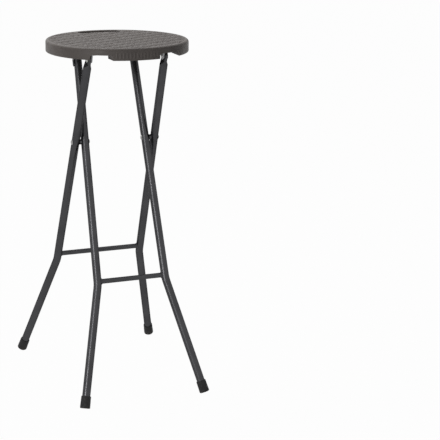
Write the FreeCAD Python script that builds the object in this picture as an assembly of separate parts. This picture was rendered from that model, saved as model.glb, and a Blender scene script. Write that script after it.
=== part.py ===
"""Folding bar stool with a round moulded seat and a crossed frame of bent steel tube.

Millimetres, +Z up, -Y to the front, +X to the right of someone who faces the front.
The origin is on the floor under the middle of the footprint.
Two leg frames cross at a pair of pivot rivets. The rear frame is the wide one: its feet
stand at the rear and its flattened tops are riveted to brackets near the front of the seat.
The front frame is the narrow one: its feet stand at the front, and its top cross tube
carries the rear of the seat in two saddle clips.
"""
import FreeCAD, Part
import math
import os

V = FreeCAD.Vector

# Heights; the frames' leans follow from these and from where the seat is carried
SEAT_TOP = 786.0          # floor to the seat's top face
PIVOT_HEIGHT = 556.5      # floor to the line of the pivot rivets

# Leg tube
TUBE_D = 18.0
TUBE_WALL = 1.2
PIVOT_HALF_WIDTH = 93.2   # middle plane to the wide frame's tube axis, at the pivot
FRAME_GAP = 4.0           # air between the wide and the narrow frame's tubes
LEG_TAPER = 1.55          # degrees, the legs above the bend close towards the seat
LEG_SPLAY = 13.0          # degrees, the legs below the bend spread towards the floor
BEND_RADIUS = 70.0
REAR_BEND = 332.0         # pivot to the bend, along the wide frame
FRONT_BEND = 322.0        # pivot to the bend, along the narrow frame

# Crossbars between the legs
CROSSBAR_D = 11.0
REAR_BAR_RISE = 16.0      # bar's axis above the wide frame's bend
FRONT_BAR_RISE = 7.0      # bar's axis above the narrow frame's bend
TOP_TUBE_D = 16.0
TOP_TUBE_DROP = 40.4      # seat's top to the top cross tube's axis
TOP_TUBE_BELOW_END = 9.0  # narrow legs' ends to the top cross tube's axis

# Foot caps
CAP_TOP_D = 21.4
CAP_SOLE_D = 22.6
CAP_LENGTH = 27.0
CAP_FLOOR = 6.0           # rubber under the tube's end
CAP_EDGE = 2.2            # rounding of the sole's edge
CAP_LIP = 0.8             # rounding of the cap's mouth
CAP_FLAT = 0.7            # depth of the worn flat that stands on the floor

# Narrow legs' end plugs
PLUG_HEAD = 2.0
PLUG_STEM = 8.0

# Pivot rivets
PIVOT_RIVET_D = 6.0
PIVOT_HEAD_D = 12.0
PIVOT_HEAD_H = 2.4
PIVOT_FLAT = 0.5          # depth of the flats pressed in the tubes at the pivot
SPACER_D = 12.0

# Seat
SEAT_D = 315.0
SEAT_SET_BACK = -19.0     # seat's centre from the pivot line, along Y
RIM_DEPTH = 25.8
SEAT_PLATE = 14.6         # thickness of the seat inside its rim
SEAT_WALL = 3.0
RIM_WIDTH = 34.0          # width of the thick ring under the seat
TOP_EDGE = 5.5
BOTTOM_EDGE = 2.0
GROOVE_IN_LEFT = 57.6     # middle plane to the left leg groove's inner wall
GROOVE_IN_RIGHT = 45.3    # the right groove is the wider one
GROOVE_GAP_OUT = 7.5      # leg grooves' outer walls to the hinge rivets' heads
GROOVE_CORNER = 5.0       # rounding of the grooves' ceilings
HANDLE_BAR = 13.0         # seat's edge to the carry slot
HANDLE_SLOT = 27.0        # width of the carry slot, across
HANDLE_HALF_ANGLE = 16.5  # degrees, middle of the slot to the centre of its round end
HANDLE_WALL = 6.0         # thick wall round the carry slot
COLUMN_D = 12.0           # solid column round each screw
SEAM_TURN = -90.0          # degrees, the surface's seam from +X, clear of the grooves

# Hinge brackets
HINGE_DROP = 32.5         # seat's top to the hinge rivets' axis
HINGE_INSIDE_RING = 58.06 # ring's inner wall to the hinge rivets' axis, on the middle plane
FLAT_THICK = 6.0          # leg's pressed end
FLAT_LENGTH = 9.0         # pressed end below the rivet
FLAT_CHANGE = 13.0        # length of the change from round to flat
BRACKET_T = 2.5
BRACKET_CORNER = 5.0
EAR_RADIUS = 8.0
EAR_ROOT_HALF = 13.0      # half of the ear's length where it leaves the plate
BRACKET_HALF = 14.0       # half of the bracket's length along the leg groove
BRACKET_REACH = 31.0      # leg's axis to the bracket's inner end
BRACKET_SCREW_IN = 22.0   # leg's axis to the screws
BRACKET_SCREW_HALF = 8.5
HINGE_RIVET_D = 6.0
HINGE_HEAD_D = 10.0
HINGE_HEAD_H = 2.2
WASHER_D = 13.0
WASHER_T = 0.8

# Screws
SCREW_D = 4.0
SCREW_LENGTH = 10.5
SCREW_HEAD_D = 8.0
SCREW_HEAD_H = 2.4
SCREW_SLOT = 1.2

# Saddle clips on the top cross tube
CLIP_X = 34.0
CLIP_WIDTH = 18.0
CLIP_FLANGE = 4.0
CLIP_FLANGE_HALF = 20.0
CLIP_SCREW_HALF = 14.5
CLIP_WALL = 3.6
CLIP_TO_HANDLE = 12.5     # clips to the carry slot's wall, on the middle plane
CLIP_REAR_LIP = 7.0       # rear wall below the tube's axis
CLIP_MOUTH = 36.0         # degrees, slope of the mouth's front side from upright

# Seat lock on the left leg
LOCK_BELOW_SEAT = 52.0    # seat's top to the lever's rivet
LEVER_T = 1.5
LEVER_WIDTH = 10.5
LEVER_UP = 24.0
LEVER_TAIL = 18.0
LEVER_NOSE = 4.0          # height of the hook's nose
LEVER_NOSE_REACH = 3.2    # nose beyond the blade's neck
LEVER_NECK = 4.5
LOCK_RIVET_D = 4.0
LOCK_HEAD_D = 7.5
LOCK_HEAD_H = 1.2
LOCK_PIN_D = 5.0
LOCK_PIN_AHEAD = 9.0      # pin from the lever's rivet, square to the leg
LOCK_PIN_ABOVE = 13.6     # pin from the lever's rivet, along the leg
LOCK_EAR_T = 2.0
LOCK_EAR_WIDTH = 14.0
LOCK_FLANGE = 16.0
LOCK_SCREW_HALF = 6.5
LOCK_CORNER = 3.0         # rounding of the lock bracket's flange

# Clearances
FIXED_FIT = 0.03
RUNNING_FIT = 0.05
SIDE_GAP = 0.1            # between faces that slide on each other
SADDLE_GAP = 0.3
CUP_FIT = 0.05

# Values worked out from those above
TUBE_R = TUBE_D / 2
SEAT_R = SEAT_D / 2
RING_INNER_R = SEAT_R - RIM_WIDTH
NARROW_HALF_WIDTH = PIVOT_HALF_WIDTH - TUBE_D - FRAME_GAP
TAPER = math.tan(math.radians(LEG_TAPER))
SPLAY = math.tan(math.radians(LEG_SPLAY))
PLATE_Z = SEAT_TOP - SEAT_PLATE
HINGE_Y = SEAT_SET_BACK - RING_INNER_R + HINGE_INSIDE_RING
HINGE_Z = SEAT_TOP - HINGE_DROP
HINGE_ALONG = math.hypot(HINGE_Y, HINGE_Z - PIVOT_HEIGHT)
HINGE_X = PIVOT_HALF_WIDTH - TAPER * HINGE_ALONG
REAR_LEAN = math.degrees(math.atan2(-HINGE_Y, HINGE_Z - PIVOT_HEIGHT))
CLIP_BORE = TOP_TUBE_D / 2 + SADDLE_GAP
CLIP_HALF = CLIP_BORE + CLIP_WALL
HANDLE_INNER_R = SEAT_R - HANDLE_BAR - HANDLE_SLOT
TOP_TUBE_Y = SEAT_SET_BACK + HANDLE_INNER_R - HANDLE_WALL - CLIP_TO_HANDLE - CLIP_HALF
TOP_TUBE_Z = SEAT_TOP - TOP_TUBE_DROP
TOP_TUBE_ALONG = math.hypot(TOP_TUBE_Y, TOP_TUBE_Z - PIVOT_HEIGHT)
LEG_END_ALONG = TOP_TUBE_ALONG + TOP_TUBE_BELOW_END
FRONT_LEAN = math.degrees(math.atan2(TOP_TUBE_Y, TOP_TUBE_Z - PIVOT_HEIGHT))
FLAT_WIDTH = math.pi * (TUBE_D - FLAT_THICK) / 2 + FLAT_THICK
EAR_IN = FLAT_THICK / 2 + WASHER_T + 2 * SIDE_GAP
GROOVE_OUT = HINGE_X + EAR_IN + HINGE_HEAD_H + GROOVE_GAP_OUT
LOCK_ALONG = (SEAT_TOP - LOCK_BELOW_SEAT - PIVOT_HEIGHT) / math.cos(math.radians(FRONT_LEAN))
SIDES = (("left", -1), ("right", 1))


def box(x0, x1, y0, y1, z0, z1):
    """Box between two corners, given in any order along X."""
    low, high = min(x0, x1), max(x0, x1)
    return Part.makeBox(high - low, y1 - y0, z1 - z0, V(low, y0, z0))


def rod_x(radius, x0, x1, y=0.0, z=0.0):
    """Round bar along X."""
    low, high = min(x0, x1), max(x0, x1)
    return Part.makeCylinder(radius, high - low, V(low, y, z), V(1, 0, 0))


def rivet_x(radius, head_radius, head_height, low, high, both=True):
    """Rivet along X with a domed head outside the face at high, and at low too where both is set."""
    ball = (head_radius ** 2 + head_height ** 2) / (2 * head_height)
    half_turn = math.asin(head_radius / ball) / 2
    inward = ball * (1 - math.cos(half_turn))
    side = ball * math.sin(half_turn)
    edges = [Part.LineSegment(V(low, 0, radius), V(high, 0, radius)).toShape(),
             Part.LineSegment(V(high, 0, radius), V(high, 0, head_radius)).toShape(),
             Part.Arc(V(high, 0, head_radius), V(high + head_height - inward, 0, side),
                      V(high + head_height, 0, 0)).toShape()]
    if both:
        edges += [Part.LineSegment(V(high + head_height, 0, 0), V(low - head_height, 0, 0)).toShape(),
                  Part.Arc(V(low - head_height, 0, 0), V(low - head_height + inward, 0, side),
                           V(low, 0, head_radius)).toShape(),
                  Part.LineSegment(V(low, 0, head_radius), V(low, 0, radius)).toShape()]
    else:
        edges += [Part.LineSegment(V(high + head_height, 0, 0), V(low, 0, 0)).toShape(),
                  Part.LineSegment(V(low, 0, 0), V(low, 0, radius)).toShape()]
    return Part.Face(Part.Wire(edges)).revolve(V(0, 0, 0), V(1, 0, 0), 360)


def pan_screw(x, y, z):
    """Screw driven upwards, its head's seat at height z."""
    shank = Part.makeCylinder(SCREW_D / 2, SCREW_LENGTH, V(x, y, z))
    tip = Part.makeCone(SCREW_D / 2, SCREW_D / 8, SCREW_D / 2, V(x, y, z + SCREW_LENGTH))
    ball = (SCREW_HEAD_D ** 2 / 4 + SCREW_HEAD_H ** 2) / (2 * SCREW_HEAD_H)
    head = Part.makeSphere(ball, V(x, y, z + ball - SCREW_HEAD_H))
    head = head.common(Part.makeCylinder(SCREW_HEAD_D / 2, SCREW_HEAD_H, V(x, y, z - SCREW_HEAD_H)))
    arm = SCREW_HEAD_D * 0.28
    half = SCREW_SLOT / 2
    low = z - SCREW_HEAD_H
    recess = box(x - arm, x + arm, y - half, y + half, low, z - SCREW_HEAD_H / 2)
    recess = recess.fuse(box(x - half, x + half, y - arm, y + arm, low, z - SCREW_HEAD_H / 2))
    return shank.fuse([tip, head]).removeSplitter().cut(recess)


def leg_x(half_width, bend, along):
    """Distance of a leg's axis from the middle plane, at a distance along from the pivot."""
    if along >= -bend:
        return half_width - TAPER * along
    return half_width + TAPER * bend + SPLAY * (-along - bend)


def bent_path(start, corner, end):
    """Line, tangent arc and line, through the corner."""
    before = (corner - start).normalize()
    after = (end - corner).normalize()
    turn = before.getAngle(after)
    reach = BEND_RADIUS * math.tan(turn / 2)
    enter = corner - before * reach
    leave = corner + after * reach
    inward = (after - before).normalize()
    centre = corner + inward * (BEND_RADIUS / math.cos(turn / 2))
    middle = centre - inward * BEND_RADIUS
    edges = [Part.LineSegment(start, enter).toShape(),
             Part.Arc(enter, middle, leave).toShape(),
             Part.LineSegment(leave, end).toShape()]
    return Part.Wire(edges)


def bent_bar(start, corner, end, radius):
    """Solid bar of the given radius along the bent path."""
    ring = Part.Wire(Part.makeCircle(radius, start, corner - start))
    return bent_path(start, corner, end).makePipeShell([ring], True, False)


def rear_point(along, side):
    return V(side * leg_x(PIVOT_HALF_WIDTH, REAR_BEND, along), 0, along)


def front_point(along, side):
    return V(side * leg_x(NARROW_HALF_WIDTH, FRONT_BEND, along), 0, along)


def lean_rear(shape):
    """Wide frame's flat drawing into place about the pivot line."""
    shape.rotate(V(0, 0, 0), V(1, 0, 0), REAR_LEAN)
    shape.translate(V(0, 0, PIVOT_HEIGHT))
    return shape


def lean_front(shape):
    """Narrow frame's flat drawing into place about the pivot line."""
    shape.rotate(V(0, 0, 0), V(1, 0, 0), -FRONT_LEAN)
    shape.translate(V(0, 0, PIVOT_HEIGHT))
    return shape


def sole_along(lean):
    """Distance of the sole's centre along a frame, so that its worn flat is on the floor."""
    down = math.cos(math.radians(LEG_SPLAY)) * math.cos(math.radians(lean))
    tilt = math.sqrt(1 - down ** 2)
    sole_z = CAP_EDGE * (1 - down) + (CAP_SOLE_D / 2 - CAP_EDGE) * tilt - CAP_FLAT
    return (sole_z - PIVOT_HEIGHT) / math.cos(math.radians(lean))


def leg_solid(point, bend, top_along, lean, side, radius, over=0.0):
    """Bar along one leg, from its top to its end inside the foot cap."""
    sole = sole_along(lean)
    foot_axis = (point(sole, side) - point(-bend, side)).normalize()
    end = point(sole, side) - foot_axis * (CAP_FLOOR - over)
    top_axis = (point(top_along, side) - point(-bend, side)).normalize()
    start = point(top_along, side) + top_axis * over
    return bent_bar(start, point(-bend, side), end, radius)


def rounded_ring(centre, normal, half_x, half_y, corner):
    """Closed outline of four arcs joined by four lines or points, turned to face normal."""
    x_in, y_in = half_x - corner, half_y - corner
    turn = FreeCAD.Rotation(V(0, 0, 1), normal)
    edges = []
    diagonal = corner / math.sqrt(2)
    spots = ((1, 1), (-1, 1), (-1, -1), (1, -1))
    for sx, sy in spots:
        middle = V(sx * x_in, sy * y_in, 0)
        first = V(sx * half_x, sy * y_in, 0)
        last = V(sx * x_in, sy * half_y, 0)
        if sx * sy < 0:
            first, last = last, first
        between = middle + V(sx * diagonal, sy * diagonal, 0)
        places = [centre + turn.multVec(p) for p in (first, between, last)]
        edges.append(Part.Arc(*places).toShape())
    joined = []
    for index, edge in enumerate(edges):
        joined.append(edge)
        here = edge.Vertexes[-1].Point
        there = edges[(index + 1) % 4].Vertexes[0].Point
        if (there - here).Length > 1e-6:
            joined.append(Part.LineSegment(here, there).toShape())
    return Part.Wire(joined)


def pivot_flats(half_width):
    """Two small flats pressed in a tube's sides, and the rivet's hole, to be cut away."""
    reach = TUBE_D
    flats = []
    for inner, outer in ((half_width + TUBE_R - PIVOT_FLAT, half_width + reach),
                         (half_width - reach, half_width - TUBE_R + PIVOT_FLAT)):
        flats.append(rod_x(SPACER_D / 2 + SIDE_GAP, inner, outer))
    return flats


def mirrored(shape, side):
    return shape if side > 0 else shape.mirror(V(0, 0, 0), V(1, 0, 0))


def flattened_top():
    """Wide leg's top: round tube changing to a pressed end with a round tip and a rivet hole."""
    change_end = HINGE_ALONG - FLAT_LENGTH
    change_start = change_end - FLAT_CHANGE
    axis = (rear_point(change_end, 1) - rear_point(change_start, 1)).normalize()
    eye = V(HINGE_X, 0, HINGE_ALONG)
    flat_centre = V(HINGE_X, 0, change_end)
    half_t = FLAT_THICK / 2
    half_w = FLAT_WIDTH / 2
    edge = half_t * 0.9
    round_ring = rounded_ring(rear_point(change_start, 1), axis, TUBE_R, TUBE_R, TUBE_R * 0.999)
    flat_ring = rounded_ring(flat_centre, V(0, 0, 1), half_t, half_w, edge)
    change = Part.makeLoft([round_ring, flat_ring], True, True)
    blade = Part.Face(flat_ring).extrude(V(0, 0, FLAT_LENGTH))
    tip = rod_x(half_w, HINGE_X - half_t, HINGE_X + half_t, 0, HINGE_ALONG)
    tip = tip.common(box(HINGE_X - TUBE_D, HINGE_X + TUBE_D, -half_w, half_w,
                         HINGE_ALONG, HINGE_ALONG + half_w))
    hole = rod_x(HINGE_RIVET_D / 2 + RUNNING_FIT, eye.x - TUBE_D, eye.x + TUBE_D, 0, eye.z)
    return change.fuse([blade, tip]).cut(hole), change_start


def rear_leg(side):
    top, round_end = flattened_top()
    outer = leg_solid(rear_point, REAR_BEND, round_end, REAR_LEAN, 1, TUBE_R)
    bore = leg_solid(rear_point, REAR_BEND, round_end - TUBE_WALL - 1.0, REAR_LEAN, 1,
                     TUBE_R - TUBE_WALL, over=1.0)
    tube = outer.cut(bore).fuse(top)
    tube = tube.cut(pivot_flats(PIVOT_HALF_WIDTH))
    tube = tube.cut(rod_x(PIVOT_RIVET_D / 2 + FIXED_FIT, PIVOT_HALF_WIDTH - TUBE_D,
                          PIVOT_HALF_WIDTH + TUBE_D))
    return lean_rear(mirrored(tube, side))


def front_leg(side):
    outer = leg_solid(front_point, FRONT_BEND, LEG_END_ALONG, FRONT_LEAN, 1, TUBE_R)
    bore = leg_solid(front_point, FRONT_BEND, LEG_END_ALONG, FRONT_LEAN, 1,
                     TUBE_R - TUBE_WALL, over=1.0)
    tube = outer.cut(bore)
    tube = tube.cut(pivot_flats(NARROW_HALF_WIDTH))
    tube = tube.cut(rod_x(PIVOT_RIVET_D / 2 + RUNNING_FIT, NARROW_HALF_WIDTH - TUBE_D,
                          NARROW_HALF_WIDTH + TUBE_D))
    if side < 0:
        lock_x = front_point(LOCK_ALONG, 1).x
        tube = tube.cut(rod_x(LOCK_RIVET_D / 2 + FIXED_FIT, lock_x, lock_x + TUBE_D, 0, LOCK_ALONG))
    return lean_front(mirrored(tube, side))


def cross_member(point, bend, along, diameter, top_along, lean, place):
    """Bar between two legs, its ends shaped to the tubes that they are welded to."""
    reach = point(along, 1).x
    bar = rod_x(diameter / 2, -reach, reach, 0, along)
    for _, side in SIDES:
        bar = bar.cut(leg_solid(point, bend, top_along, lean, side, TUBE_R))
    bar = max(bar.Solids, key=lambda solid: solid.Volume)
    return place(bar)


def foot_cap(point, bend, lean, side, place):
    """Rubber cup on a leg's end, with a rounded sole that is flat where it stands."""
    sole = sole_along(lean)
    centre = point(sole, side)
    up = (point(-bend, side) - centre).normalize()
    sole_r = CAP_SOLE_D / 2
    mouth_r = CAP_TOP_D / 2
    cup_r = TUBE_R + CUP_FIT
    outline = [V(0, 0, 0), V(sole_r, 0, 0), V(mouth_r, 0, CAP_LENGTH), V(0, 0, CAP_LENGTH)]
    face = Part.Face(Part.makePolygon(outline + [outline[0]]))
    body = face.revolve(V(0, 0, 0), V(0, 0, 1), 360)
    sole_edge = [e for e in body.Edges if e.Length > 1 and e.BoundBox.ZMax < 0.01]
    body = body.makeFillet(CAP_EDGE, sole_edge)
    body = body.cut(Part.makeCylinder(cup_r, CAP_LENGTH, V(0, 0, CAP_FLOOR)))
    lip = [e for e in body.Edges if e.BoundBox.ZMin > CAP_LENGTH - 0.01
           and e.BoundBox.XLength > 2 * cup_r + 0.1]
    body = body.makeFillet(min(CAP_LIP, (mouth_r - cup_r) * 0.8), lip)
    body.Placement = FreeCAD.Placement(centre, FreeCAD.Rotation(V(0, 0, 1), up))
    body = place(body)
    below = 4 * CAP_LENGTH
    bounds = body.BoundBox
    floor = box(bounds.XMin - 1, bounds.XMax + 1, bounds.YMin - 1, bounds.YMax + 1, -below, 0)
    return body.cut(floor)


def leg_plug(side):
    """Plug in the open end of a narrow leg."""
    end = front_point(LEG_END_ALONG, side)
    up = (end - front_point(-FRONT_BEND, side)).normalize()
    stem = Part.makeCylinder(TUBE_R - TUBE_WALL - FIXED_FIT, PLUG_STEM, end - up * PLUG_STEM, up)
    head = Part.makeCylinder(TUBE_R, PLUG_HEAD, end, up)
    rim = [e for e in head.Edges if e.Length > TUBE_D
           and (e.CenterOfMass - end).dot(up) > PLUG_HEAD / 2]
    head = head.makeFillet(PLUG_HEAD * 0.6, rim)
    return lean_front(stem.fuse(head))


def pivot_rivet(side):
    inner = NARROW_HALF_WIDTH - TUBE_R + PIVOT_FLAT - SIDE_GAP
    outer = PIVOT_HALF_WIDTH + TUBE_R - PIVOT_FLAT
    rivet = rivet_x(PIVOT_RIVET_D / 2, PIVOT_HEAD_D / 2, PIVOT_HEAD_H, inner, outer)
    return mirrored(rivet, side).translated(V(0, 0, PIVOT_HEIGHT))


def pivot_spacer(side):
    inner = NARROW_HALF_WIDTH + TUBE_R - PIVOT_FLAT + SIDE_GAP
    outer = PIVOT_HALF_WIDTH - TUBE_R + PIVOT_FLAT
    ring = rod_x(SPACER_D / 2, inner, outer)
    ring = ring.cut(rod_x(PIVOT_RIVET_D / 2 + FIXED_FIT, inner, outer))
    return mirrored(ring, side).translated(V(0, 0, PIVOT_HEIGHT))


def bracket_screw_spots():
    """Middle of each hinge bracket screw, from the middle plane and the pivot line."""
    spots = []
    for _, side in SIDES:
        for step in (-BRACKET_SCREW_HALF, BRACKET_SCREW_HALF):
            spots.append((side * (HINGE_X - BRACKET_SCREW_IN), HINGE_Y + step))
    return spots


def clip_screw_spots():
    spots = []
    for _, side in SIDES:
        for step in (-CLIP_SCREW_HALF, CLIP_SCREW_HALF):
            spots.append((side * CLIP_X + step, TOP_TUBE_Y))
    return spots


def lock_pin_place():
    """X of the lever's inner face, and Y and Z of the catch pin and the lever's rivet."""
    lean = math.radians(FRONT_LEAN)
    along = V(0, math.sin(lean), math.cos(lean))
    ahead = V(0, -math.cos(lean), math.sin(lean))
    rivet = along * LOCK_ALONG + V(0, 0, PIVOT_HEIGHT)
    pin = rivet + along * LOCK_PIN_ABOVE + ahead * LOCK_PIN_AHEAD
    face_x = leg_x(NARROW_HALF_WIDTH, FRONT_BEND, LOCK_ALONG - LEVER_TAIL) + TUBE_R + SIDE_GAP
    return face_x, pin, rivet


def lock_ear_x():
    """Inner face of the lock bracket's ear, clear of the lever and its rivet's head."""
    face_x, _, _ = lock_pin_place()
    return face_x + LEVER_T + LOCK_HEAD_H + SADDLE_GAP


def lock_screw_spots():
    """Middle of each lock bracket screw; the flange lies on the inner side of the ear."""
    _, pin, _ = lock_pin_place()
    x = lock_ear_x() - LOCK_FLANGE / 2
    return [(-x, pin.y - LOCK_SCREW_HALF), (-x, pin.y + LOCK_SCREW_HALF)]


def rounded_disc(radius, bottom, top_r, low_r):
    """Disc below Z = 0 with a rounded top edge, and a rounded lower edge where low_r isn't 0."""
    disc = Part.makeCylinder(radius, -bottom, V(0, 0, bottom))
    for edge_r, height in ((top_r, 0), (low_r, bottom)):
        if edge_r > 0:
            circle = [e for e in disc.Edges if e.Length > radius
                      and abs(e.CenterOfMass.z - height) < 0.01]
            disc = disc.makeFillet(edge_r, circle)
    disc.rotate(V(0, 0, 0), V(0, 0, 1), SEAM_TURN)
    return disc


def leg_groove(side, inset, ceiling):
    """Room for a wide leg's top in the underside, rounded along its ceiling."""
    inner = GROOVE_IN_LEFT if side < 0 else GROOVE_IN_RIGHT
    deep = 2 * SEAT_D
    groove = box(side * (inner - inset), side * (GROOVE_OUT + inset),
                 -deep, HINGE_Y - SEAT_SET_BACK, ceiling - deep, ceiling)
    corners = [e for e in groove.Edges if e.BoundBox.ZMin > ceiling - 0.01
               and e.BoundBox.XLength < 0.01]
    return groove.makeFillet(GROOVE_CORNER + inset, corners)


def seat_block(inset):
    """Seat's outer form for an inset of 0, or the hollow inside it for an inset of its wall."""
    big = 2 * SEAT_D
    block = rounded_disc(SEAT_R - inset, 2 * inset - RIM_DEPTH, max(TOP_EDGE - inset, 0),
                         max(BOTTOM_EDGE - inset, 0)).translated(V(0, 0, -inset))
    ceiling = -SEAT_PLATE + inset
    recess = Part.makeCylinder(RING_INNER_R + inset, big, V(0, 0, ceiling - big))
    if inset == 0:
        recess = recess.cut(handle_slot(HANDLE_WALL))
    grooves = [leg_groove(side, inset, ceiling) for _, side in SIDES]
    return block.cut([recess, handle_slot(inset)] + grooves)


def handle_slot(grow):
    """Curved carry slot along the seat's rear edge, with round ends."""
    outer = HANDLE_INNER_R + HANDLE_SLOT + grow
    inner = HANDLE_INNER_R - grow
    middle = (outer + inner) / 2
    end_r = (outer - inner) / 2
    low = -2 * RIM_DEPTH
    high = 4 * RIM_DEPTH
    start = V(0, 0, low)
    ring = Part.makeCylinder(outer, high, start).cut(Part.makeCylinder(inner, high, start))
    half = math.radians(HANDLE_HALF_ANGLE)
    far = 2 * SEAT_R
    wedge = Part.makePolygon([V(0, 0, low), V(far * math.sin(half), far * math.cos(half), low),
                              V(-far * math.sin(half), far * math.cos(half), low), V(0, 0, low)])
    slot = ring.common(Part.Face(wedge).extrude(V(0, 0, high)))
    ends = [Part.makeCylinder(end_r, high, V(side * middle * math.sin(half),
                                             middle * math.cos(half), low))
            for _, side in SIDES]
    return slot.fuse(ends)


def seat_shell():
    """Hollow moulded seat: top, thick ring, leg grooves, carry slot and screw columns."""
    hollow = seat_block(SEAT_WALL)
    spots = bracket_screw_spots() + clip_screw_spots() + lock_screw_spots()
    columns = [Part.makeCylinder(COLUMN_D / 2, 2 * RIM_DEPTH, V(x, y - SEAT_SET_BACK, -RIM_DEPTH))
               for x, y in spots]
    shell = seat_block(0).cut(hollow.cut(columns))
    pilots = [Part.makeCylinder(SCREW_D / 2 + FIXED_FIT, SEAT_PLATE - SEAT_WALL / 2,
                                V(x, y - SEAT_SET_BACK, -SEAT_PLATE - SEAT_WALL / 2))
              for x, y in spots]
    return shell.cut(pilots).translated(V(0, SEAT_SET_BACK, SEAT_TOP))


def hinge_bracket(side):
    """Pressed steel bracket: plate under the seat and one ear inside the leg's flat end."""
    ear_x = HINGE_X - EAR_IN - BRACKET_T
    plate = box(HINGE_X - BRACKET_REACH, HINGE_X - EAR_IN, HINGE_Y - BRACKET_HALF,
                HINGE_Y + BRACKET_HALF, PLATE_Z - BRACKET_T, PLATE_Z)
    corners = [e for e in plate.Edges if abs(e.BoundBox.ZLength - BRACKET_T) < 0.01
               and e.BoundBox.XMin < HINGE_X - BRACKET_REACH + 0.01]
    bracket = plate.makeFillet(BRACKET_CORNER, corners)
    rise = PLATE_Z - BRACKET_T / 2 - HINGE_Z
    root = math.hypot(EAR_ROOT_HALF, rise)
    turn = math.acos(EAR_RADIUS / root) - math.atan2(rise, EAR_ROOT_HALF)
    side_y, side_z = EAR_RADIUS * math.cos(turn), -EAR_RADIUS * math.sin(turn)
    outline = [V(ear_x, HINGE_Y - side_y, HINGE_Z + side_z), V(ear_x, HINGE_Y + side_y, HINGE_Z + side_z),
               V(ear_x, HINGE_Y + EAR_ROOT_HALF, HINGE_Z + rise),
               V(ear_x, HINGE_Y - EAR_ROOT_HALF, HINGE_Z + rise)]
    ear = Part.Face(Part.makePolygon(outline + [outline[0]])).extrude(V(BRACKET_T, 0, 0))
    tip = rod_x(EAR_RADIUS, ear_x, ear_x + BRACKET_T, HINGE_Y, HINGE_Z)
    bracket = bracket.fuse([ear, tip]).removeSplitter()
    bracket = bracket.cut(rod_x(HINGE_RIVET_D / 2 + FIXED_FIT, 0, SEAT_D, HINGE_Y, HINGE_Z))
    for step in (-BRACKET_SCREW_HALF, BRACKET_SCREW_HALF):
        spot = V(HINGE_X - BRACKET_SCREW_IN, HINGE_Y + step, PLATE_Z - 2 * BRACKET_T)
        bracket = bracket.cut(Part.makeCylinder(SCREW_D / 2 + SIDE_GAP, 3 * BRACKET_T, spot))
    return mirrored(bracket, side)


def hinge_rivet(side):
    rivet = rivet_x(HINGE_RIVET_D / 2, HINGE_HEAD_D / 2, HINGE_HEAD_H,
                    HINGE_X - EAR_IN - BRACKET_T, HINGE_X + EAR_IN)
    return mirrored(rivet, side).translated(V(0, HINGE_Y, HINGE_Z))


def hinge_washers(side):
    washers = []
    for start in (HINGE_X - FLAT_THICK / 2 - SIDE_GAP - WASHER_T, HINGE_X + FLAT_THICK / 2 + SIDE_GAP):
        ring = rod_x(WASHER_D / 2, start, start + WASHER_T, HINGE_Y, HINGE_Z)
        hole = rod_x(HINGE_RIVET_D / 2 + FIXED_FIT, start, start + WASHER_T, HINGE_Y, HINGE_Z)
        washers.append(mirrored(ring.cut(hole), side))
    return washers


def saddle_clip(side):
    """Moulded clip that hangs over the top cross tube, with a mouth that opens forward."""
    y0, y1 = TOP_TUBE_Y - CLIP_HALF, TOP_TUBE_Y + CLIP_HALF
    flange = box(CLIP_X - CLIP_FLANGE_HALF, CLIP_X + CLIP_FLANGE_HALF, y0, y1,
                 PLATE_Z - CLIP_FLANGE, PLATE_Z)
    corners = [e for e in flange.Edges if abs(e.BoundBox.ZLength - CLIP_FLANGE) < 0.01]
    flange = flange.makeFillet(CLIP_FLANGE, corners)
    body = box(CLIP_X - CLIP_WIDTH / 2, CLIP_X + CLIP_WIDTH / 2, y0, y1,
               TOP_TUBE_Z - CLIP_REAR_LIP, PLATE_Z)
    clip = flange.fuse(body).removeSplitter()
    for step in (-CLIP_SCREW_HALF, CLIP_SCREW_HALF):
        spot = V(CLIP_X + step, TOP_TUBE_Y, PLATE_Z - 2 * CLIP_FLANGE)
        clip = clip.cut(Part.makeCylinder(SCREW_D / 2 + SIDE_GAP, 3 * CLIP_FLANGE, spot))
    lean = math.radians(CLIP_MOUTH)
    deep = 2 * TOP_TUBE_D
    front_y = TOP_TUBE_Y - CLIP_BORE * math.cos(lean)
    front_z = TOP_TUBE_Z + CLIP_BORE * math.sin(lean)
    back_y = TOP_TUBE_Y + CLIP_BORE
    mouth = Part.makePolygon([V(0, back_y, TOP_TUBE_Z), V(0, back_y, TOP_TUBE_Z - deep),
                              V(0, front_y - deep * math.tan(lean), front_z - deep),
                              V(0, front_y, front_z), V(0, back_y, TOP_TUBE_Z)])
    mouth = Part.Face(mouth).extrude(V(SEAT_D, 0, 0))
    clip = clip.cut([rod_x(CLIP_BORE, 0, SEAT_D, TOP_TUBE_Y, TOP_TUBE_Z), mouth])
    return mirrored(clip, side)


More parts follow.
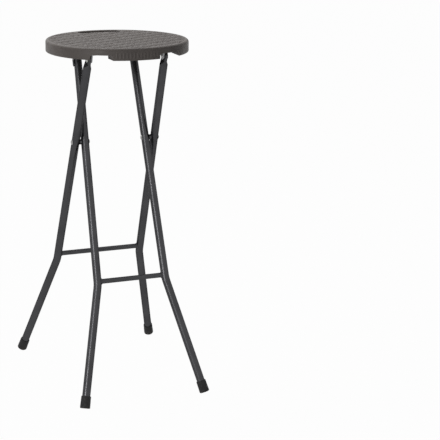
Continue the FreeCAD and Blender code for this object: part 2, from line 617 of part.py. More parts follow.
def lock_bracket():
    """Bracket under the seat whose ear carries the pin that the lock lever hooks over."""
    face_x, pin, _ = lock_pin_place()
    ear_x = lock_ear_x()
    half = LOCK_EAR_WIDTH / 2
    flange_half = LOCK_SCREW_HALF + SCREW_HEAD_D * 0.56
    flange = box(ear_x - LOCK_FLANGE, ear_x + LOCK_EAR_T, pin.y - flange_half, pin.y + flange_half,
                 PLATE_Z - LOCK_EAR_T, PLATE_Z)
    corners = [e for e in flange.Edges if abs(e.BoundBox.ZLength - LOCK_EAR_T) < 0.01]
    flange = flange.makeFillet(LOCK_CORNER, corners)
    ear = box(ear_x, ear_x + LOCK_EAR_T, pin.y - half, pin.y + half, pin.z, PLATE_Z)
    tip = rod_x(half, ear_x, ear_x + LOCK_EAR_T, pin.y, pin.z)
    pin_rod = rod_x(LOCK_PIN_D / 2, face_x, ear_x + LOCK_EAR_T, pin.y, pin.z)
    bracket = flange.fuse([ear, tip, pin_rod]).removeSplitter()
    for x, y in lock_screw_spots():
        hole = Part.makeCylinder(SCREW_D / 2 + SIDE_GAP, 3 * LOCK_EAR_T,
                                 V(-x, y, PLATE_Z - 2 * LOCK_EAR_T))
        bracket = bracket.cut(hole)
    return mirrored(bracket, -1)


def lock_lever():
    """Flat steel hook on the left narrow leg; drawn along the leg, nose to the front."""
    face_x, _, _ = lock_pin_place()
    half = LEVER_WIDTH / 2
    neck = half - LEVER_NECK
    blade = box(face_x, face_x + LEVER_T, -half, half, LOCK_ALONG - LEVER_TAIL + half, LOCK_ALONG)
    tail = rod_x(half, face_x, face_x + LEVER_T, 0, LOCK_ALONG - LEVER_TAIL + half)
    eye = rod_x(half, face_x, face_x + LEVER_T, 0, LOCK_ALONG)
    arm = box(face_x, face_x + LEVER_T, neck, half, LOCK_ALONG, LOCK_ALONG + LEVER_UP)
    nose = box(face_x, face_x + LEVER_T, neck - LEVER_NOSE_REACH, half,
               LOCK_ALONG + LEVER_UP - LEVER_NOSE, LOCK_ALONG + LEVER_UP)
    lever = blade.fuse([tail, eye, arm, nose]).removeSplitter()
    hole = rod_x(LOCK_RIVET_D / 2 + RUNNING_FIT, face_x - 1, face_x + LEVER_T + 1, 0, LOCK_ALONG)
    return lean_front(mirrored(lever.cut(hole), -1))


def lock_rivet():
    face_x, _, _ = lock_pin_place()
    root = front_point(LOCK_ALONG, 1).x + TUBE_R - TUBE_WALL
    rivet = rivet_x(LOCK_RIVET_D / 2, LOCK_HEAD_D / 2, LOCK_HEAD_H, root,
                    face_x + LEVER_T + SIDE_GAP, both=False)
    return lean_front(mirrored(rivet, -1).translated(V(0, 0, LOCK_ALONG)))


def screws(spots, seat_z):
    return [pan_screw(x, y, seat_z) for x, y in spots]


def build():
    """Every piece by the name of its node, with the pivot line at Y = 0."""
    parts = {}
    for name, side in SIDES:
        parts["rear_leg_" + name] = [rear_leg(side)]
        parts["front_leg_" + name] = [front_leg(side)]
        parts["rear_foot_cap_" + name] = [foot_cap(rear_point, REAR_BEND, REAR_LEAN, side, lean_rear)]
        parts["front_foot_cap_" + name] = [foot_cap(front_point, FRONT_BEND, FRONT_LEAN, side,
                                                    lean_front)]
        parts["pivot_rivet_" + name] = [pivot_rivet(side)]
        parts["pivot_spacer_" + name] = [pivot_spacer(side)]
        parts["hinge_bracket_" + name] = [hinge_bracket(side)]
        parts["hinge_rivet_" + name] = [hinge_rivet(side)]
        parts["saddle_clip_" + name] = [saddle_clip(side)]
        parts["leg_plug_" + name] = [leg_plug(side)]
    parts["rear_crossbar"] = [cross_member(rear_point, REAR_BEND, REAR_BAR_RISE - REAR_BEND,
                                           CROSSBAR_D, 0, REAR_LEAN, lean_rear)]
    parts["front_crossbar"] = [cross_member(front_point, FRONT_BEND, FRONT_BAR_RISE - FRONT_BEND,
                                            CROSSBAR_D, 0, FRONT_LEAN, lean_front)]
    parts["top_cross_tube"] = [cross_member(front_point, FRONT_BEND, TOP_TUBE_ALONG, TOP_TUBE_D,
                                            LEG_END_ALONG, FRONT_LEAN, lean_front)]
    parts["seat_shell"] = [seat_shell()]
    parts["hinge_washers"] = hinge_washers(-1) + hinge_washers(1)
    parts["bracket_screws"] = screws(bracket_screw_spots(), PLATE_Z - BRACKET_T)
    parts["clip_screws"] = screws(clip_screw_spots(), PLATE_Z - CLIP_FLANGE)
    parts["lock_bracket"] = [lock_bracket()]
    parts["lock_bracket_screws"] = screws(lock_screw_spots(), PLATE_Z - LOCK_EAR_T)
    parts["lock_lever"] = [lock_lever()]
    parts["lock_rivet"] = [lock_rivet()]
    return parts


def main():
    parts = build()
    feet = Part.makeCompound([s for name, shapes in parts.items() if "foot_cap" in name
                              for s in shapes])
    bounds = feet.optimalBoundingBox(False)
    middle = (bounds.YMin + bounds.YMax) / 2
    os.makedirs("parts", exist_ok=True)
    for name, shapes in parts.items():
        solids = [solid for shape in shapes for solid in shape.Solids]
        node = solids[0] if len(solids) == 1 else Part.makeCompound(solids)
        node.translate(V(0, -middle, 0))
        node.exportStep("parts/" + name + ".step")
    _, lock_pin, lock_axis = lock_pin_place()
    print("frame_fold axis at Y %.4f Z %.4f" % (-middle, PIVOT_HEIGHT))
    print("seat_fold axis at Y %.4f Z %.4f" % (HINGE_Y - middle, HINGE_Z))
    print("lock_swing axis at Y %.4f Z %.4f" % (lock_axis.y - middle, lock_axis.z))
    print("seat centre at Y %.4f" % (SEAT_SET_BACK - middle))


main()
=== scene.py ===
"""Looks of the folding bar stool: the finished seat, materials, floor, light and camera."""
import math

import bmesh
import bpy
from mathutils import Matrix, Vector, geometry


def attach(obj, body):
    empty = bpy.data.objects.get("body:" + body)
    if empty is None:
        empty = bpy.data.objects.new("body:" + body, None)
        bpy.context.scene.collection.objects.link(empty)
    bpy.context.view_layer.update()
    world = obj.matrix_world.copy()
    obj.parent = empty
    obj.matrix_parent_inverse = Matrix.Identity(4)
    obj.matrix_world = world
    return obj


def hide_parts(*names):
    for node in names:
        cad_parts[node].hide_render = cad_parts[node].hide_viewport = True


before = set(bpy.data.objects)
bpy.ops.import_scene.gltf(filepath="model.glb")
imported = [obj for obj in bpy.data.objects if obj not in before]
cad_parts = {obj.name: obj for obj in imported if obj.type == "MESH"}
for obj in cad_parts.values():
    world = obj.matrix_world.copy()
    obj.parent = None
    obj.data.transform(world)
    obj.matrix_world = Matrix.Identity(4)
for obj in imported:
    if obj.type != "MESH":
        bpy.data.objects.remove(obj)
bpy.context.view_layer.update()

MM = 0.001
PIVOT_Y = -18.7034          # pivot line, from the middle of the footprint
SEAT_Y = -37.7034           # seat's centre
SEAT_TOP = 786.0
SEAT_R = 157.5
TOP_FILLET = 5.5
RIBS_FROM, RIBS_TO = -54.0, 42.0   # ribbed part of the rim, between the leg grooves
SLOT_MIDDLE_R = 131.0       # carry slot, about the seat's centre
SLOT_HALF_WIDTH = 13.5
SLOT_HALF_ANGLE = 16.5

# Woven relief of the seat's top
WARP_PITCH = 16.14          # strands that run from front to rear
WEFT_PITCH = 8.07           # strands that run across
WEAVE_TURN = -1.4           # degrees
WEAVE_DEPTH = 2.2
WEAVE_R = 150.0             # woven field, inside a smooth border
WEAVE_FADE = 2.0
SLOT_BORDER = 5.5           # smooth lip round the carry slot
SLOT_ROUND = 2.5
GRID = 1.05                 # spacing of the relief's points

# Ribs on the rim between the leg grooves
RIB_PITCH = 7.6
RIB_HALF_WIDTH = 2.3
RIB_HEIGHT = 0.8
RIB_TOP = 777.5
RIB_BOTTOM = 763.6
RIB_SINK = 0.05             # ribs' edges below the rim's face

# Weld beads
WELD_PARTS = 48             # steps round a bar in which its end is looked for
WELD_RADIUS = 1.55
WELD_RIPPLE = 0.16          # ripple's height, as a share of the radius
WELD_RIPPLES = 16
WELD_SIDES = 10

# Surround
FLOOR_REACH = 30.0          # metres
FLOOR_COLOUR = (0.36, 0.36, 0.36, 1)
FLOOR_GLOW = 0.98           # share of plain white in what is seen of the floor
SKY = 0.1

# Camera, from a fit of the feet, legs and seat in the photograph
CAMERA_AZIMUTH = -18.538    # degrees
CAMERA_YAW = -4.071
CAMERA_PITCH = 14.618
CAMERA_ROLL = 0.5905
CAMERA_DISTANCE = 3349.99
CAMERA_HEIGHT = 1242.66
SENSOR = 36.0
LENS = 123.742


def srgb(*values):
    """Linear colour from three values of 0 to 255 as they look on a screen."""
    out = []
    for value in values:
        v = value / 255
        out.append(v / 12.92 if v <= 0.04045 else ((v + 0.055) / 1.055) ** 2.4)
    return tuple(out) + (1.0,)


class Look:
    """Node material round one Principled shader, in the object's own coordinates."""

    def __init__(self, name, **sockets):
        self.material = bpy.data.materials.new(name)
        self.material.use_nodes = True
        self.nodes = self.material.node_tree.nodes
        self.links = self.material.node_tree.links
        self.shader = self.nodes["Principled BSDF"]
        for socket, value in sockets.items():
            self.shader.inputs[socket.replace("_", " ")].default_value = value
        self.place = self.nodes.new("ShaderNodeTexCoord").outputs["Object"]

    def noise(self, size, detail=2.0, rough=0.5, stretch=(1, 1, 1)):
        """Cloudy values whose blobs are about size millimetres across."""
        mapping = self.nodes.new("ShaderNodeMapping")
        mapping.inputs["Scale"].default_value = stretch
        self.links.new(self.place, mapping.inputs["Vector"])
        node = self.nodes.new("ShaderNodeTexNoise")
        node.inputs["Scale"].default_value = 1 / (size * MM)
        node.inputs["Detail"].default_value = detail
        node.inputs["Roughness"].default_value = rough
        self.links.new(mapping.outputs["Vector"], node.inputs["Vector"])
        return node.outputs["Fac"]

    def cells(self, size):
        """Distance from the middle of cells about size millimetres across."""
        node = self.nodes.new("ShaderNodeTexVoronoi")
        node.inputs["Scale"].default_value = 1 / (size * MM)
        self.links.new(self.place, node.inputs["Vector"])
        return node.outputs["Distance"]

    def height(self):
        node = self.nodes.new("ShaderNodeSeparateXYZ")
        self.links.new(self.place, node.inputs["Vector"])
        return node.outputs["Z"]

    def spread(self, value, low, high, to_low=0.0, to_high=1.0):
        """Stretches low..high of a value to to_low..to_high."""
        node = self.nodes.new("ShaderNodeMapRange")
        node.inputs["From Min"].default_value = low
        node.inputs["From Max"].default_value = high
        node.inputs["To Min"].default_value = to_low
        node.inputs["To Max"].default_value = to_high
        self.links.new(value, node.inputs["Value"])
        return node.outputs["Result"]

    def times(self, first, second):
        node = self.nodes.new("ShaderNodeMath")
        node.operation = "MULTIPLY"
        self.links.new(first, node.inputs[0])
        if isinstance(second, float):
            node.inputs[1].default_value = second
        else:
            self.links.new(second, node.inputs[1])
        return node.outputs["Value"]

    def attribute(self, name):
        node = self.nodes.new("ShaderNodeAttribute")
        node.attribute_name = name
        return node.outputs["Fac"]

    def mix(self, fac, first, second):
        """Blend of two colours, each a tuple or another node's output."""
        node = self.nodes.new("ShaderNodeMix")
        node.data_type = "RGBA"
        self.links.new(fac, node.inputs["Factor"])
        for socket, colour in ((node.inputs[6], first), (node.inputs[7], second)):
            if isinstance(colour, tuple):
                socket.default_value = colour
            else:
                self.links.new(colour, socket)
        return node.outputs[2]

    def colour(self, value):
        self.links.new(value, self.shader.inputs["Base Color"])

    def gloss(self, value):
        self.links.new(value, self.shader.inputs["Roughness"])

    def bump(self, value, depth, under=None):
        """Relief of depth millimetres, over another relief where under is given."""
        node = self.nodes.new("ShaderNodeBump")
        node.inputs["Strength"].default_value = 1.0
        node.inputs["Distance"].default_value = depth * MM
        self.links.new(value, node.inputs["Height"])
        if under is not None:
            self.links.new(under, node.inputs["Normal"])
        self.links.new(node.outputs["Normal"], self.shader.inputs["Normal"])
        return node.outputs["Normal"]


def seat_plastic():
    """Warm grey moulded plastic with a fine etched grain, with painted shade in the hollows of the
    weave.
    """
    look = Look("seat_plastic", IOR=1.46, Specular_IOR_Level=0.3)
    clouds = look.noise(38, 3.0, 0.55)
    specks = look.noise(0.9, 1.0, 0.4)
    base = look.mix(look.spread(clouds, 0.3, 0.7), srgb(98, 92, 89), srgb(107, 101, 97))
    base = look.mix(look.spread(specks, 0.35, 0.65, 0.0, 0.25), base, srgb(92, 86, 83))
    # painted shade: the weave's hollows darkened by the relief's depth, not a colour of the
    # plastic
    gap_shade_mask = look.spread(look.attribute("gap_shade"), 0.12, 0.7, 0.0, 0.9)
    base = look.mix(gap_shade_mask, base, srgb(40, 37, 35))
    look.colour(base)
    look.gloss(look.spread(look.noise(22, 2.0), 0.3, 0.7, 0.46, 0.58))
    fine = look.bump(look.noise(0.55, 1.0), 0.02)
    look.bump(look.noise(7, 2.0), 0.05, fine)
    return look.material


def frame_paint():
    """Dark grey metallic paint with a slight orange peel, rubbed a little along the tubes."""
    look = Look("frame_paint", Metallic=0.8, IOR=1.5, Specular_IOR_Level=0.2,
                Specular_Tint=(0.3, 0.3, 0.3, 1))
    flakes = look.noise(0.45, 0.0)
    clouds = look.noise(45, 3.0, 0.6)
    base = look.mix(look.spread(clouds, 0.3, 0.7), srgb(66, 66, 68), srgb(76, 76, 78))
    base = look.mix(look.spread(flakes, 0.55, 0.75, 0.0, 0.4), base, srgb(96, 96, 98))
    scuffs = look.noise(9, 5.0, 0.7, (1, 1, 0.35))
    base = look.mix(look.spread(scuffs, 0.64, 0.78, 0.0, 0.35), base, srgb(96, 96, 98))
    look.colour(base)
    look.gloss(look.spread(look.noise(16, 3.0), 0.3, 0.7, 0.24, 0.34))
    look.bump(look.noise(2.2, 2.0, 0.4), 0.035)
    return look.material


def foot_rubber():
    """Near black rubber, dulled by dust towards the floor."""
    look = Look("foot_rubber", IOR=1.5, Specular_IOR_Level=0.35)
    low = look.spread(look.height(), 0.012, 0.0, 0.0, 1.0)
    dust = look.times(low, look.spread(look.noise(4, 4.0, 0.65), 0.35, 0.7))
    base = look.mix(look.spread(look.noise(12, 3.0), 0.3, 0.7), srgb(30, 30, 31), srgb(40, 39, 39))
    base = look.mix(look.times(dust, 0.55), base, srgb(96, 91, 85))
    look.colour(base)
    look.gloss(look.spread(look.noise(5, 2.0), 0.3, 0.7, 0.6, 0.8))
    look.bump(look.noise(0.8, 2.0), 0.05)
    return look.material


def plated_steel(name, bright, dull, rough_low, rough_high):
    """Zinc plated steel: cloudy bright and dull patches with fine rolling lines."""
    look = Look(name, Metallic=1.0)
    patches = look.cells(3.5)
    clouds = look.noise(11, 3.0, 0.6)
    base = look.mix(look.spread(clouds, 0.3, 0.7), bright, dull)
    base = look.mix(look.spread(patches, 0.2, 0.8, 0.0, 0.25), base, dull)
    look.colour(base)
    look.gloss(look.spread(look.noise(5, 3.0), 0.3, 0.7, rough_low, rough_high))
    lines = look.bump(look.noise(0.7, 1.0, 0.5, (1, 0.12, 1)), 0.012)
    look.bump(look.noise(6, 2.0), 0.03, lines)
    return look.material


def black_plastic():
    look = Look("black_plastic", IOR=1.48)
    base = look.mix(look.spread(look.noise(8, 3.0), 0.3, 0.7), srgb(34, 34, 35), srgb(48, 47, 47))
    look.colour(base)
    look.gloss(look.spread(look.noise(6, 2.0), 0.3, 0.7, 0.42, 0.58))
    look.bump(look.noise(0.6, 1.0), 0.025)
    return look.material


def washer_plastic():
    look = Look("washer_plastic", IOR=1.5, Subsurface_Weight=0.1, Subsurface_Scale=0.002)
    clouds = look.spread(look.noise(4, 2.0), 0.3, 0.7)
    base = look.mix(clouds, srgb(206, 202, 190), srgb(220, 216, 206))
    look.colour(base)
    look.gloss(look.spread(look.noise(3, 2.0), 0.3, 0.7, 0.35, 0.5))
    look.bump(look.noise(0.9, 1.0), 0.02)
    return look.material


LOOKS = {
    "seat_plastic": seat_plastic(),
    "frame_paint": frame_paint(),
    "foot_rubber": foot_rubber(),
    "bracket_steel": plated_steel("bracket_steel", srgb(168, 168, 168), srgb(128, 129, 131),
                                  0.34, 0.5),
    "fastener_steel": plated_steel("fastener_steel", srgb(186, 185, 183), srgb(140, 140, 140),
                                   0.25, 0.4),
    "black_plastic": black_plastic(),
    "washer_plastic": washer_plastic(),
}


def dress(obj, slot_name):
    obj.data.materials.clear()
    obj.data.materials.append(LOOKS[slot_name])


def new_object(name, mesh, slot_name, body):
    obj = bpy.data.objects.new(name, mesh)
    bpy.context.scene.collection.objects.link(obj)
    dress(obj, slot_name)
    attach(obj, body)
    return obj


def finish_mesh(mesh, sharp=32.0):
    """Smooth shading with creases where faces meet at more than sharp degrees."""
    for polygon in mesh.polygons:
        polygon.use_smooth = True
    mesh.set_sharp_from_angle(angle=math.radians(sharp))
    mesh.update()


def cad_bmesh(node):
    """The node's mesh as one welded surface in a bmesh of its own."""
    bm = bmesh.new()
    bm.from_mesh(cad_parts[node].data)
    bmesh.ops.remove_doubles(bm, verts=bm.verts, dist=1e-6)
    return bm


def islands(bm):
    """Faces in connected groups."""
    left = set(bm.faces)
    groups = []
    while left:
        seed = left.pop()
        group, edge_faces = [seed], [seed]
        while edge_faces:
            face = edge_faces.pop()
            for edge in face.edges:
                for other in edge.link_faces:
                    if other in left:
                        left.remove(other)
                        group.append(other)
                        edge_faces.append(other)
        groups.append(group)
    return groups


def slot_distance(x, y):
    """Distance from the carry slot's wall, about the seat's centre. Negative in the slot."""
    half = math.radians(SLOT_HALF_ANGLE)
    angle = math.atan2(x, y)
    if abs(angle) <= half:
        return abs(math.hypot(x, y) - SLOT_MIDDLE_R) - SLOT_HALF_WIDTH
    side = math.copysign(1, x)
    end_x, end_y = side * SLOT_MIDDLE_R * math.sin(half), SLOT_MIDDLE_R * math.cos(half)
    return math.hypot(x - end_x, y - end_y) - SLOT_HALF_WIDTH


def smooth_step(value):
    t = min(max(value, 0.0), 1.0)
    return t * t * (3 - 2 * t)


def strand(across, along):
    """Height from 0 to 1 of one float of a strand, a long pillow that is highest in its middle."""
    a, b = min(abs(2 * across), 1.0), min(abs(along), 1.0)
    return math.sqrt((1 - a ** 3) * (1 - b ** 5))


def weave(x, y):
    """Relief of the 2/2 twill from -1 in the deepest gap to 0 on the crowns."""
    turn = math.radians(WEAVE_TURN)
    u = (x * math.cos(turn) + y * math.sin(turn)) / WARP_PITCH
    v = (y * math.cos(turn) - x * math.sin(turn)) / WEFT_PITCH
    i, j = math.floor(u), math.floor(v)
    warp_along = (v - i) % 4 - 1
    if warp_along > 2:
        warp_along -= 4
    weft_along = (u - j + 2) % 4
    if weft_along > 2:
        weft_along -= 4
    return max(strand(u - i - 0.5, warp_along), strand(v - j - 0.5, weft_along)) - 1


def field_mask(x, y):
    """1 in the woven field, 0 on the smooth border and on the lip round the slot."""
    border = smooth_step((WEAVE_R - math.hypot(x, y)) / WEAVE_FADE)
    lip = smooth_step((slot_distance(x, y) - SLOT_BORDER) / WEAVE_FADE)
    return border * lip


# Drop of the top below the seat's plane, and its depth, which the seat's material uses as painted
# shade
def relief(x, y):
    mask = field_mask(x, y)
    if mask <= 0:
        return 0.0, 0.0
    depth = weave(x, y)
    return depth * WEAVE_DEPTH * mask, -depth * mask


def ordered_loop(edges):
    """Vertices of a closed chain of edges, in order."""
    links = {}
    for edge in edges:
        a, b = edge.verts
        links.setdefault(a, []).append(b)
        links.setdefault(b, []).append(a)
    start = next(iter(links))
    loop, before, here = [start], None, start
    while True:
        after = next(v for v in links[here] if v is not before)
        if after is start:
            return loop
        loop.append(after)
        before, here = here, after


def chains(edges):
    """Edges in connected groups."""
    left = set(edges)
    groups = []
    while left:
        seed = left.pop()
        group, open_edges = [seed], [seed]
        while open_edges:
            for vert in open_edges.pop().verts:
                for other in vert.link_edges:
                    if other in left:
                        left.remove(other)
                        group.append(other)
                        open_edges.append(other)
        groups.append(group)
    return groups


def seat():
    """Seat: the moulding's own walls with a rounded slot, and a woven top set in them."""
    bm = cad_bmesh("seat_shell")
    groups = sorted(islands(bm), key=lambda g: max(f.calc_center_median().z for f in g))
    outer = set(groups[-1])
    bmesh.ops.delete(bm, geom=[f for f in bm.faces if f not in outer], context="FACES")
    top = [f for f in bm.faces if all(abs(v.co.z - SEAT_TOP * MM) < 1e-6 for v in f.verts)]
    bmesh.ops.delete(bm, geom=top, context="FACES")
    open_edges = [e for e in bm.edges if e.is_boundary]
    loops = [ordered_loop(group) for group in chains(open_edges)]
    loops.sort(key=lambda loop: max(v.co.x for v in loop))
    slot_loop, rim_loop = loops[0], loops[-1]

    steps = 6
    rings = [slot_loop]
    places = [(v.co.x / MM, v.co.y / MM - SEAT_Y) for v in slot_loop]
    nudge = 0.05
    outward = []
    for x, y in places:
        dx = slot_distance(x + nudge, y) - slot_distance(x - nudge, y)
        dy = slot_distance(x, y + nudge) - slot_distance(x, y - nudge)
        outward.append(Vector((dx, dy, 0)).normalized())
    for vert in slot_loop:
        vert.co.z -= SLOT_ROUND * MM
    for step in range(1, steps + 1):
        angle = math.radians(90 * step / steps)
        out, up = SLOT_ROUND * (1 - math.cos(angle)), SLOT_ROUND * math.sin(angle)
        ring = []
        for (x, y), away in zip(places, outward):
            ring.append(bm.verts.new(((x + away.x * out) * MM,
                                      (y + SEAT_Y + away.y * out) * MM,
                                      (SEAT_TOP - SLOT_ROUND + up) * MM)))
        rings.append(ring)
    count = len(slot_loop)
    for low, high in zip(rings, rings[1:]):
        for k in range(count):
            bm.faces.new((low[k], low[(k + 1) % count], high[(k + 1) % count], high[k]))

    spacing = GRID
    inner_loop = rings[-1]
    fixed = rim_loop + inner_loop
    points = [Vector((v.co.x / MM, v.co.y / MM - SEAT_Y)) for v in fixed]
    borders = []
    for start, length in ((0, len(rim_loop)), (len(rim_loop), len(inner_loop))):
        borders += [(start + k, start + (k + 1) % length) for k in range(length)]
    reach = int(SEAT_R / spacing) + 1
    field_r = SEAT_R - TOP_FILLET - spacing
    for row in range(-reach, reach + 1):
        for column in range(-reach, reach + 1):
            x = (column + (0.5 if row % 2 else 0.0)) * spacing
            y = row * spacing
            if math.hypot(x, y) < field_r and slot_distance(x, y) > SLOT_ROUND + spacing * 0.7:
                points.append(Vector((x, y)))
    made = geometry.delaunay_2d_cdt(points, borders, [], 0, 1e-4)
    found, _, triangles, origins = made[:4]
    gap_shade = {}
    verts = []
    for place, sources in zip(found, origins):
        boundary = [s for s in sources if s < len(fixed)]
        if boundary:
            verts.append(fixed[boundary[0]])
            continue
        down, shade = relief(place.x, place.y)
        vert = bm.verts.new((place.x * MM, (place.y + SEAT_Y) * MM, (SEAT_TOP + down) * MM))
        gap_shade[vert] = shade
        verts.append(vert)
    for triangle in triangles:
        corners = [verts[k] for k in triangle]
        middle = sum((found[k] for k in triangle), Vector((0, 0))) / 3
        if len(set(corners)) < 3 or slot_distance(middle.x, middle.y) < SLOT_ROUND * 0.9:
            continue
        if middle.length > SEAT_R - TOP_FILLET + 0.01:
            continue
        bm.faces.new(corners)
    loose = [v for v in bm.verts if not v.link_faces]
    bmesh.ops.delete(bm, geom=loose, context="VERTS")
    bmesh.ops.recalc_face_normals(bm, faces=bm.faces)
    # depth of the relief, kept for the material's painted shade in the weave's hollows
    layer = bm.verts.layers.float.new("gap_shade")
    for vert, shade in gap_shade.items():
        if vert.is_valid:
            vert[layer] = shade
    mesh = bpy.data.meshes.new("seat")
    bm.to_mesh(mesh)
    bm.free()
    finish_mesh(mesh)
    for polygon in mesh.polygons:
        if polygon.normal.z < -0.999:
            polygon.use_smooth = False
    obj = new_object("seat", mesh, "seat_plastic", "seat")
    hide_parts("seat_shell")
    return obj


def rim_ribs():
    """Fine upright ribs on the rim between the leg grooves."""
    bm = bmesh.new()
    first, last = (math.asin(x / SEAT_R) * SEAT_R for x in (RIBS_FROM, RIBS_TO))
    count = int((last - first) / RIB_PITCH)
    start = (first + last - count * RIB_PITCH) / 2
    across, end_steps = 6, 3
    for k in range(count + 1):
        middle = (start + k * RIB_PITCH) / SEAT_R
        rows = []
        heights = [RIB_BOTTOM + (RIB_TOP - RIB_BOTTOM) * t / 8 for t in range(9)]
        for height in heights:
            near_end = min(height - RIB_BOTTOM, RIB_TOP - height) / end_steps
            proud = RIB_HEIGHT * math.sqrt(smooth_step(near_end))
            row = []
            for step in range(across + 1):
                s = 2 * step / across - 1
                out = proud * math.cos(math.pi * s / 2) - RIB_SINK
                angle = middle + s * RIB_HALF_WIDTH / SEAT_R
                radius = SEAT_R + out
                row.append(bm.verts.new((radius * math.sin(angle) * MM,
                                         (SEAT_Y - radius * math.cos(angle)) * MM, height * MM)))
            rows.append(row)
        for low, high in zip(rows, rows[1:]):
            for step in range(across):
                bm.faces.new((low[step], low[step + 1], high[step + 1], high[step]))
    bmesh.ops.recalc_face_normals(bm, faces=bm.faces)
    mesh = bpy.data.meshes.new("rim_ribs")
    bm.to_mesh(mesh)
    bm.free()
    finish_mesh(mesh, 60)
    return new_object("rim_ribs", mesh, "seat_plastic", "seat")


def weld_bead(name, node, body, side):
    """Rippled weld round a crossbar's end, along the line where it meets the leg."""
    co = [v.co.copy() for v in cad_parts[node].data.vertices]
    middle = Vector((0, sum(v.y for v in co) / len(co), sum(v.z for v in co) / len(co)))
    best = {}
    parts = WELD_PARTS
    for p in co:
        if p.x * side <= 0:
            continue
        key = round(math.atan2(p.z - middle.z, p.y - middle.y) / (2 * math.pi) * parts) % parts
        radius = math.hypot(p.y - middle.y, p.z - middle.z)
        if key not in best or (abs(p.x), radius) > (abs(best[key].x), 0):
            best[key] = p
    keys = sorted(best)
    line = []
    samples = 3 * parts
    for step in range(samples):
        t = step / 3
        after = next((k for k in keys if k >= t), keys[0] + parts)
        before = max((k for k in keys if k <= t), default=keys[-1] - parts)
        a, b = best[before % parts], best[after % parts]
        mix = 0 if after == before else (t - before) / (after - before)
        line.append(a.lerp(b, mix))
    bm = bmesh.new()
    rings = []
    for step, p in enumerate(line):
        ahead = (line[(step + 1) % samples] - line[step - 1]).normalized()
        out = (p - Vector((p.x, middle.y, middle.z))).normalized()
        binormal = ahead.cross(out).normalized()
        ripple = math.sin(step * math.pi * 2 * WELD_RIPPLES / samples)
        radius = WELD_RADIUS * (1 + WELD_RIPPLE * ripple) * MM
        ring = []
        for k in range(WELD_SIDES):
            angle = 2 * math.pi * k / WELD_SIDES
            away = out * math.cos(angle) + binormal * math.sin(angle)
            ring.append(bm.verts.new(p + away * radius))
        rings.append(ring)
    for low, high in zip(rings, rings[1:] + rings[:1]):
        for k in range(WELD_SIDES):
            after = (k + 1) % WELD_SIDES
            bm.faces.new((low[k], low[after], high[after], high[k]))
    bmesh.ops.recalc_face_normals(bm, faces=bm.faces)
    mesh = bpy.data.meshes.new(name)
    bm.to_mesh(mesh)
    bm.free()
    finish_mesh(mesh, 80)
    return new_object(name, mesh, "frame_paint", body)


def stage():
    """White floor that keeps the object's shadow, and a white surround."""
    r = FLOOR_REACH
    mesh = bpy.data.meshes.new("floor")
    mesh.from_pydata([(-r, -r, 0), (r, -r, 0), (r, r, 0), (-r, r, 0)], [], [(0, 1, 2, 3)])
    floor = bpy.data.objects.new("floor", mesh)
    bpy.context.scene.collection.objects.link(floor)
    material = bpy.data.materials.new("floor")
    material.use_nodes = True
    nodes, links = material.node_tree.nodes, material.node_tree.links
    nodes.clear()
    output = nodes.new("ShaderNodeOutputMaterial")
    blend = nodes.new("ShaderNodeMixShader")
    white = nodes.new("ShaderNodeEmission")
    white.inputs["Strength"].default_value = 1.0
    matt = nodes.new("ShaderNodeBsdfDiffuse")
    matt.inputs["Color"].default_value = FLOOR_COLOUR
    seen = seen_directly(nodes, links)
    part = nodes.new("ShaderNodeMath")
    part.operation = "MULTIPLY"
    part.inputs[1].default_value = FLOOR_GLOW
    links.new(seen, part.inputs[0])
    links.new(part.outputs["Value"], blend.inputs["Fac"])
    links.new(matt.outputs["BSDF"], blend.inputs[1])
    links.new(white.outputs["Emission"], blend.inputs[2])
    links.new(blend.outputs["Shader"], output.inputs["Surface"])
    mesh.materials.append(material)

    world = bpy.data.worlds.new("studio")
    bpy.context.scene.world = world
    world.use_nodes = True
    nodes, links = world.node_tree.nodes, world.node_tree.links
    sky = nodes["Background"]
    sky.inputs["Color"].default_value = (1, 1, 1, 1)
    level = nodes.new("ShaderNodeMapRange")
    level.inputs["To Min"].default_value = SKY
    level.inputs["To Max"].default_value = 1.0
    links.new(seen_directly(nodes, links), level.inputs["Value"])
    links.new(level.outputs["Result"], sky.inputs["Strength"])


def seen_directly(nodes, links):
    """1 for what the camera sees itself or in a glossy or clear surface."""
    path = nodes.new("ShaderNodeLightPath")
    total = path.outputs["Is Camera Ray"]
    for name in ("Is Glossy Ray", "Is Transmission Ray"):
        node = nodes.new("ShaderNodeMath")
        node.operation = "MAXIMUM"
        links.new(total, node.inputs[0])
        links.new(path.outputs[name], node.inputs[1])
        total = node.outputs["Value"]
    return total


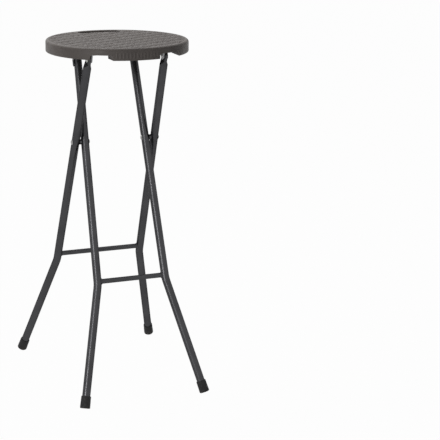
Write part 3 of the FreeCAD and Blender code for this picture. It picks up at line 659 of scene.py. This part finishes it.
def lamp(name, place, target, size, power):
    data = bpy.data.lights.new(name, "AREA")
    data.shape = "RECTANGLE"
    data.size, data.size_y = size
    data.energy = power
    obj = bpy.data.objects.new(name, data)
    bpy.context.scene.collection.objects.link(obj)
    obj.location = place
    obj.rotation_euler = (Vector(target) - Vector(place)).to_track_quat("-Z", "Y").to_euler()
    return obj


def lights():
    lamp("overhead", (-0.7, 1.3, 2.9), (0, 0, 0.75), (1.4, 1.4), 46)
    lamp("left", (-2.1, -1.8, 0.9), (0, 0, 0.4), (0.3, 1.5), 24)


def camera():
    """Camera that sees the stool as the photograph does."""
    azimuth, pitch, roll = (math.radians(a) for a in (CAMERA_AZIMUTH, CAMERA_PITCH, CAMERA_ROLL))
    place = Vector((CAMERA_DISTANCE * math.sin(azimuth),
                    PIVOT_Y - CAMERA_DISTANCE * math.cos(azimuth), CAMERA_HEIGHT)) * MM
    heading = azimuth + math.radians(CAMERA_YAW)
    ahead = Vector((-math.sin(heading) * math.cos(pitch),
                    math.cos(heading) * math.cos(pitch), -math.sin(pitch)))
    right = Vector((math.cos(heading), math.sin(heading), 0))
    up = right.cross(ahead)
    turned_right = right * math.cos(roll) + up * math.sin(roll)
    turned_up = up * math.cos(roll) - right * math.sin(roll)
    data = bpy.data.cameras.new("camera")
    data.sensor_width = SENSOR
    data.lens = LENS
    obj = bpy.data.objects.new("camera", data)
    bpy.context.scene.collection.objects.link(obj)
    rotation = Matrix((turned_right, turned_up, -ahead)).transposed().to_4x4()
    obj.matrix_world = Matrix.Translation(place) @ rotation
    bpy.context.scene.camera = obj


for node_name, node_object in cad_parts.items():
    dress(node_object, node_object.data.materials[0].name.split(".")[0])
seat()
rim_ribs()
for bar, bar_body in (("rear_crossbar", "rear_frame"), ("front_crossbar", "front_frame"),
                      ("top_cross_tube", "front_frame")):
    weld_bead(bar + "_weld_left", bar, bar_body, -1)
    weld_bead(bar + "_weld_right", bar, bar_body, 1)
stage()
lights()
camera()
bpy.context.scene.view_settings.view_transform = "Standard"

bpy.context.view_layer.update()
